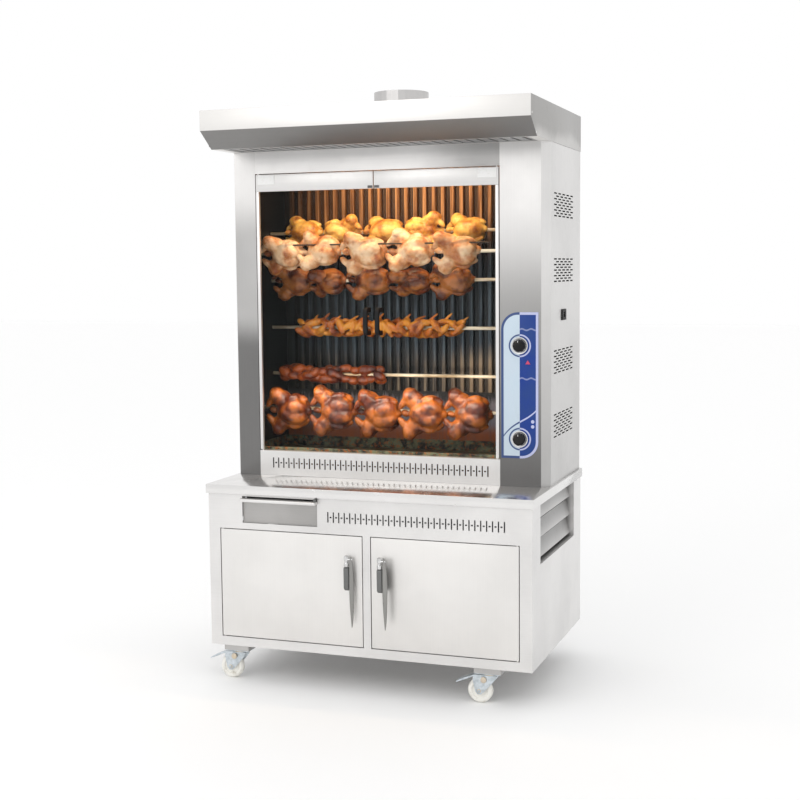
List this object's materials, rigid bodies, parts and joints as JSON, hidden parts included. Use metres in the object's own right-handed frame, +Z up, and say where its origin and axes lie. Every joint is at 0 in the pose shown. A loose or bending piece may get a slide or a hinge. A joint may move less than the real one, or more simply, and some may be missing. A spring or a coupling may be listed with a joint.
{
  "type": "rotisserie oven",
  "caption": "Floor-standing rotisserie oven: glazed cabinet with chain-driven spits, canopy hood and flue, on a cupboard base with casters.",
  "frame": {"origin": "on the floor, under the middle of the whole oven", "axes": "+Z up, the doors face -Y, +X to the right as the cook faces the oven"},
  "size_m": [1.231, 0.782, 2.125],
  "materials": {
    "stainless": "brushed stainless sheet",
    "cavity_steel": "heat-stained stainless sheet",
    "zinc_steel": "zinc-plated pressed steel",
    "chrome": "polished chrome plate on a zinc casting",
    "spit_steel": "drawn bar, straw-coloured by heat",
    "wheel_nylon": "cream nylon",
    "black_plastic": "black phenolic moulding",
    "door_glass": "clear toughened glass",
    "panel_enamel": "blue printed plate",
    "lamp_lens": "red lens",
    "cast_metal": "cast and oiled steel"
  },
  "bodies": {
    "cabinet": {"base_floor": "stainless", "base_side_left": "stainless", "base_side_right": "stainless", "base_back": "stainless", "base_front_frame": "stainless", "worktop": "stainless", "drawer_cradle": "stainless", "column_left": "stainless", "column_right": "stainless", "side_cover_right": "stainless", "rear_cover": "stainless", "lower_vent_panel": "stainless", "top_panel": "stainless", "ribbed_back_wall": "cavity_steel", "drip_pan": "cavity_steel", "gas_burner_train": "cast_metal", "gear_motor": "cast_metal", "drive_chain": "cast_metal", "control_plate": "panel_enamel", "pilot_lamp": "lamp_lens", "power_inlet": "black_plastic", "hood": "stainless", "hood_filter": "stainless", "flue_collar": "stainless", "caster_plate_front_left": "zinc_steel", "caster_plate_front_right": "zinc_steel", "caster_plate_rear_left": "zinc_steel", "caster_plate_rear_right": "zinc_steel"},
    "drip_drawer": {"drip_drawer": "stainless"},
    "base_door_left": {"base_door_left": "stainless", "latch_block_left": "chrome"},
    "latch_lever_left": {"latch_lever_left": "chrome"},
    "base_door_right": {"base_door_right": "stainless", "latch_block_right": "chrome"},
    "latch_lever_right": {"latch_lever_right": "chrome"},
    "glass_door_left": {"glass_door_rail_left": "stainless", "glass_door_pane_left": "door_glass", "glass_door_handle_left": "black_plastic"},
    "glass_door_right": {"glass_door_rail_right": "stainless", "glass_door_pane_right": "door_glass", "glass_door_handle_right": "black_plastic"},
    "control_knob_upper": {"control_knob_upper": "black_plastic"},
    "control_knob_lower": {"control_knob_lower": "black_plastic"},
    "spit_1": {"spit_1": "spit_steel"},
    "spit_2": {"spit_2": "spit_steel"},
    "spit_3": {"spit_3": "spit_steel"},
    "spit_4": {"spit_4": "spit_steel"},
    "spit_5": {"spit_5": "spit_steel"},
    "spit_6": {"spit_6": "spit_steel"},
    "motor_sprocket": {"motor_sprocket": "cast_metal"},
    "caster_fork_front_left": {"caster_fork_front_left": "zinc_steel"},
    "caster_wheel_front_left": {"caster_wheel_front_left": "wheel_nylon"},
    "brake_pedal_front_left": {"brake_pedal_front_left": "zinc_steel"},
    "caster_fork_front_right": {"caster_fork_front_right": "zinc_steel"},
    "caster_wheel_front_right": {"caster_wheel_front_right": "wheel_nylon"},
    "brake_pedal_front_right": {"brake_pedal_front_right": "zinc_steel"},
    "caster_fork_rear_left": {"caster_fork_rear_left": "zinc_steel"},
    "caster_wheel_rear_left": {"caster_wheel_rear_left": "wheel_nylon"},
    "caster_fork_rear_right": {"caster_fork_rear_right": "zinc_steel"},
    "caster_wheel_rear_right": {"caster_wheel_rear_right": "wheel_nylon"}
  },
  "joints": [
    {"name": "drip_drawer_slide", "type": "slide", "parent": "cabinet", "child": "drip_drawer", "axis": [0, -1, 0], "range_m": [0, 0.4]},
    {"name": "base_door_left_hinge", "type": "hinge", "parent": "cabinet", "child": "base_door_left", "pos_m": [-0.5375, -0.353, 0.3653], "axis": [0, 0, -1], "range_deg": [0, 110]},
    {"name": "latch_lever_left_pivot", "type": "hinge", "parent": "base_door_left", "child": "latch_lever_left", "pos_m": [-0.0305, -0.385, 0.4843], "axis": [-1, 0, 0], "range_deg": [0, 25]},
    {"name": "base_door_right_hinge", "type": "hinge", "parent": "cabinet", "child": "base_door_right", "pos_m": [0.5565, -0.353, 0.3653], "axis": [0, 0, 1], "range_deg": [0, 110]},
    {"name": "latch_lever_right_pivot", "type": "hinge", "parent": "base_door_right", "child": "latch_lever_right", "pos_m": [0.0925, -0.385, 0.4843], "axis": [-1, 0, 0], "range_deg": [0, 25]},
    {"name": "glass_door_left_hinge", "type": "hinge", "parent": "cabinet", "child": "glass_door_left", "pos_m": [-0.4905, -0.104, 1.3], "axis": [0, 0, -1], "range_deg": [0, 110]},
    {"name": "glass_door_right_hinge", "type": "hinge", "parent": "cabinet", "child": "glass_door_right", "pos_m": [0.4185, -0.104, 1.3], "axis": [0, 0, 1], "range_deg": [0, 110]},
    {"name": "control_knob_upper_turn", "type": "hinge", "parent": "cabinet", "child": "control_knob_upper", "pos_m": [0.5005, -0.129, 1.2163], "axis": [0, 1, 0], "range_deg": [0, 270]},
    {"name": "control_knob_lower_turn", "type": "hinge", "parent": "cabinet", "child": "control_knob_lower", "pos_m": [0.5005, -0.129, 0.8893], "axis": [0, 1, 0], "range_deg": [0, 270]},
    {"name": "spit_1_turn", "type": "hinge", "parent": "cabinet", "child": "spit_1", "pos_m": [0.0095, 0.161, 1.6253], "axis": [1, 0, 0], "continuous": true},
    {"name": "spit_2_turn", "type": "hinge", "parent": "cabinet", "child": "spit_2", "pos_m": [0.0095, 0.031, 1.5473], "axis": [1, 0, 0], "continuous": true},
    {"name": "spit_3_turn", "type": "hinge", "parent": "cabinet", "child": "spit_3", "pos_m": [0.0095, 0.161, 1.4433], "axis": [1, 0, 0], "continuous": true},
    {"name": "spit_4_turn", "type": "hinge", "parent": "cabinet", "child": "spit_4", "pos_m": [0.0095, 0.161, 1.2633], "axis": [1, 0, 0], "continuous": true},
    {"name": "spit_5_turn", "type": "hinge", "parent": "cabinet", "child": "spit_5", "pos_m": [0.0095, 0.161, 1.0833], "axis": [1, 0, 0], "continuous": true},
    {"name": "spit_6_turn", "type": "hinge", "parent": "cabinet", "child": "spit_6", "pos_m": [0.0095, 0.031, 0.9623], "axis": [1, 0, 0], "continuous": true},
    {"name": "motor_sprocket_turn", "type": "hinge", "parent": "cabinet", "child": "motor_sprocket", "pos_m": [0.4595, 0.111, 0.8923], "axis": [1, 0, 0], "continuous": true},
    {"name": "caster_fork_front_left_swivel", "type": "hinge", "parent": "cabinet", "child": "caster_fork_front_left", "pos_m": [-0.4955, -0.311, 0.1], "axis": [0, 0, 1], "continuous": true},
    {"name": "caster_wheel_front_left_roll", "type": "hinge", "parent": "caster_fork_front_left", "child": "caster_wheel_front_left", "pos_m": [-0.5305, -0.311, 0.044], "axis": [0, 1, 0], "continuous": true},
    {"name": "brake_pedal_front_left_press", "type": "hinge", "parent": "caster_fork_front_left", "child": "brake_pedal_front_left", "pos_m": [-0.5475, -0.311, 0.0927], "axis": [0, -1, 0], "range_deg": [0, 12]},
    {"name": "caster_fork_front_right_swivel", "type": "hinge", "parent": "cabinet", "child": "caster_fork_front_right", "pos_m": [0.4495, -0.311, 0.1], "axis": [0, 0, 1], "continuous": true},
    {"name": "caster_wheel_front_right_roll", "type": "hinge", "parent": "caster_fork_front_right", "child": "caster_wheel_front_right", "pos_m": [0.4145, -0.311, 0.044], "axis": [0, 1, 0], "continuous": true},
    {"name": "brake_pedal_front_right_press", "type": "hinge", "parent": "caster_fork_front_right", "child": "brake_pedal_front_right", "pos_m": [0.3975, -0.311, 0.0927], "axis": [0, -1, 0], "range_deg": [0, 12]},
    {"name": "caster_fork_rear_left_swivel", "type": "hinge", "parent": "cabinet", "child": "caster_fork_rear_left", "pos_m": [-0.4955, 0.331, 0.1], "axis": [0, 0, 1], "continuous": true},
    {"name": "caster_wheel_rear_left_roll", "type": "hinge", "parent": "caster_fork_rear_left", "child": "caster_wheel_rear_left", "pos_m": [-0.5305, 0.331, 0.044], "axis": [0, 1, 0], "continuous": true},
    {"name": "caster_fork_rear_right_swivel", "type": "hinge", "parent": "cabinet", "child": "caster_fork_rear_right", "pos_m": [0.4495, 0.331, 0.1], "axis": [0, 0, 1], "continuous": true},
    {"name": "caster_wheel_rear_right_roll", "type": "hinge", "parent": "caster_fork_rear_right", "child": "caster_wheel_rear_right", "pos_m": [0.4145, 0.331, 0.044], "axis": [0, 1, 0], "continuous": true}
  ],
  "couplings": [
    {"joint": "spit_2_turn", "follows": "spit_1_turn", "ratio": 1},
    {"joint": "spit_3_turn", "follows": "spit_1_turn", "ratio": 1},
    {"joint": "spit_4_turn", "follows": "spit_1_turn", "ratio": 1},
    {"joint": "spit_5_turn", "follows": "spit_1_turn", "ratio": 1},
    {"joint": "spit_6_turn", "follows": "spit_1_turn", "ratio": 1},
    {"joint": "motor_sprocket_turn", "follows": "spit_1_turn", "ratio": 1}
  ]
}
